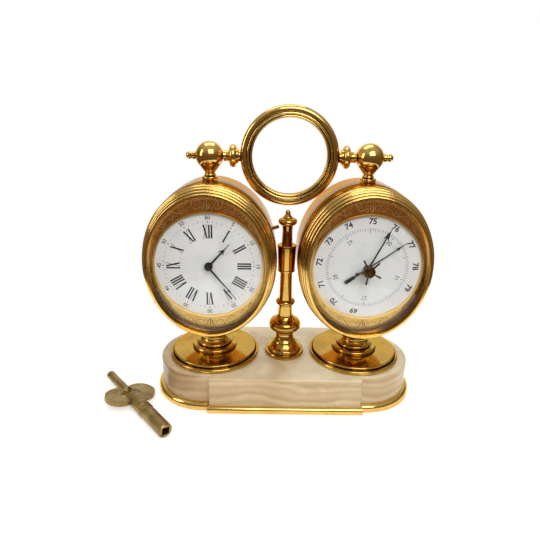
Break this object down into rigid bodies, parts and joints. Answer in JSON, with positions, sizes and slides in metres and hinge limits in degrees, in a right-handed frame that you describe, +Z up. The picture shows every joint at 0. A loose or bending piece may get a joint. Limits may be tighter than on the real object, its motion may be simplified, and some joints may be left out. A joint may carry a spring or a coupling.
{
  "type": "clock with barometer",
  "caption": "Gilt brass desk clock and matching aneroid barometer in oval drums on a banded onyx plinth, with a ring handle and winding key.",
  "frame": {"origin": "middle of the plinth's underside, on the surface it stands on", "axes": "+X to the right seen from the front, +Y to the back, +Z up"},
  "size_m": [0.1793, 0.0856, 0.1569],
  "materials": {
    "gilt_brass": "polished",
    "aged_brass": "satin",
    "plain_brass": "satin",
    "onyx": "polished",
    "glass": "polished",
    "enamel": "gloss",
    "blued_steel": "satin",
    "steel": "satin"
  },
  "bodies": {
    "stand": {"base_moulding": "gilt_brass", "clock_pedestal_flange": "gilt_brass", "barometer_pedestal_flange": "gilt_brass", "clock_pedestal_neck": "gilt_brass", "barometer_pedestal_neck": "gilt_brass", "clock_case": "gilt_brass", "barometer_case": "gilt_brass", "column_foot": "gilt_brass", "column_shaft": "gilt_brass", "column_collar": "gilt_brass", "column_finial": "gilt_brass", "clock_bezel": "gilt_brass", "barometer_bezel": "gilt_brass", "clock_mask": "gilt_brass", "barometer_mask": "gilt_brass", "clock_ball_finial": "gilt_brass", "barometer_ball_finial": "gilt_brass", "barometer_rear_cover": "gilt_brass", "onyx_block": "onyx", "clock_glass": "glass", "barometer_glass": "glass", "clock_dial": "enamel", "barometer_dial": "enamel", "movement_front_plate": "plain_brass", "movement_back_plate": "plain_brass", "movement_pillars": "plain_brass", "balance_cock": "plain_brass", "barometer_front_plate": "plain_brass", "barometer_base_plate": "plain_brass", "aneroid_capsule": "plain_brass", "tie_rods": "steel", "tie_nuts": "steel", "door_hinge_pin": "steel", "capsule_spring": "steel"},
    "ring": {"ring_handle": "gilt_brass", "ring_spindle_left": "gilt_brass", "ring_spindle_right": "gilt_brass"},
    "minute": {"centre_arbor": "plain_brass", "cannon_pinion": "steel", "minute_hand": "blued_steel"},
    "hour": {"hour_wheel": "plain_brass", "hour_hand": "blued_steel"},
    "motion": {"minute_wheel": "plain_brass"},
    "barrel": {"mainspring_barrel": "plain_brass"},
    "third": {"third_wheel": "plain_brass"},
    "fourth": {"fourth_wheel": "plain_brass"},
    "escape": {"escape_wheel": "plain_brass"},
    "lever": {"pallet_lever": "steel"},
    "balance": {"balance_wheel": "plain_brass", "hairspring": "steel"},
    "winding": {"winding_arbor": "steel"},
    "pawl": {"click": "steel"},
    "door": {"clock_rear_door": "gilt_brass"},
    "weather": {"pointer_arbor": "steel", "barometer_hand": "blued_steel"},
    "sector": {"sector_lever": "plain_brass"},
    "set": {"set_knob": "gilt_brass", "set_hand": "blued_steel"},
    "screw": {"adjusting_screw": "steel"},
    "key": {"winding_key": "aged_brass"}
  },
  "joints": [
    {"name": "ring_swing", "type": "hinge", "parent": "stand", "child": "ring", "pos_m": [0, 0, 0.132], "axis": [1, 0, 0], "continuous": true},
    {"name": "minute_turn", "type": "hinge", "parent": "stand", "child": "minute", "pos_m": [-0.0403, 0, 0.0789], "axis": [0, 1, 0], "continuous": true},
    {"name": "hour_turn", "type": "hinge", "parent": "stand", "child": "hour", "pos_m": [-0.0403, 0, 0.0789], "axis": [0, 1, 0], "continuous": true},
    {"name": "motion_turn", "type": "hinge", "parent": "stand", "child": "motion", "pos_m": [-0.04653, 0, 0.0753], "axis": [0, 1, 0], "continuous": true},
    {"name": "barrel_turn", "type": "hinge", "parent": "stand", "child": "barrel", "pos_m": [-0.0403, 0, 0.0645], "axis": [0, 1, 0], "continuous": true},
    {"name": "third_turn", "type": "hinge", "parent": "stand", "child": "third", "pos_m": [-0.04751, 0, 0.08611], "axis": [0, 1, 0], "continuous": true},
    {"name": "fourth_turn", "type": "hinge", "parent": "stand", "child": "fourth", "pos_m": [-0.03877, 0, 0.09076], "axis": [0, 1, 0], "continuous": true},
    {"name": "escape_turn", "type": "hinge", "parent": "stand", "child": "escape", "pos_m": [-0.03127, 0, 0.09366], "axis": [0, 1, 0], "continuous": true},
    {"name": "lever_rock", "type": "hinge", "parent": "stand", "child": "lever", "pos_m": [-0.03167, 0, 0.10066], "axis": [0, 1, 0], "range_deg": [-4, 4]},
    {"name": "balance_swing", "type": "hinge", "parent": "stand", "child": "balance", "pos_m": [-0.0418, 0, 0.0984], "axis": [0, 1, 0], "range_deg": [-135, 135], "stiffness_Nm_per_rad": 0.000003},
    {"name": "winding_turn", "type": "hinge", "parent": "stand", "child": "winding", "pos_m": [-0.0403, 0, 0.0645], "axis": [0, 1, 0], "continuous": true},
    {"name": "click_lift", "type": "hinge", "parent": "stand", "child": "pawl", "pos_m": [-0.0479, 0, 0.058], "axis": [0, -1, 0], "range_deg": [0, 8], "stiffness_Nm_per_rad": 0.0005},
    {"name": "door_swing", "type": "hinge", "parent": "stand", "child": "door", "pos_m": [-0.0765, 0.017, 0.0789], "axis": [0, 0, 1], "range_deg": [0, 110]},
    {"name": "weather_turn", "type": "hinge", "parent": "stand", "child": "weather", "pos_m": [0.0403, 0, 0.0789], "axis": [0, 1, 0], "range_deg": [-161.5, 54.5]},
    {"name": "sector_rock", "type": "hinge", "parent": "stand", "child": "sector", "pos_m": [0.0403, 0, 0.0609], "axis": [0, 1, 0], "range_deg": [-6.1, 18]},
    {"name": "set_turn", "type": "hinge", "parent": "stand", "child": "set", "pos_m": [0.0403, 0, 0.0789], "axis": [0, 1, 0], "continuous": true},
    {"name": "screw_turn", "type": "hinge", "parent": "stand", "child": "screw", "pos_m": [0.0403, 0, 0.0569], "axis": [0, 1, 0], "continuous": true},
    {"name": "key_lift", "type": "slide", "parent": "stand", "child": "key", "axis": [-0.6, 0, 0.8], "range_m": [0, 0.12]}
  ],
  "couplings": [
    {"joint": "hour_turn", "follows": "minute_turn", "ratio": 0.083333},
    {"joint": "motion_turn", "follows": "minute_turn", "ratio": -0.33333},
    {"joint": "barrel_turn", "follows": "minute_turn", "ratio": -0.14286},
    {"joint": "third_turn", "follows": "minute_turn", "ratio": -7.5},
    {"joint": "fourth_turn", "follows": "minute_turn", "ratio": 60},
    {"joint": "sector_rock", "follows": "weather_turn", "ratio": -0.11111}
  ]
}
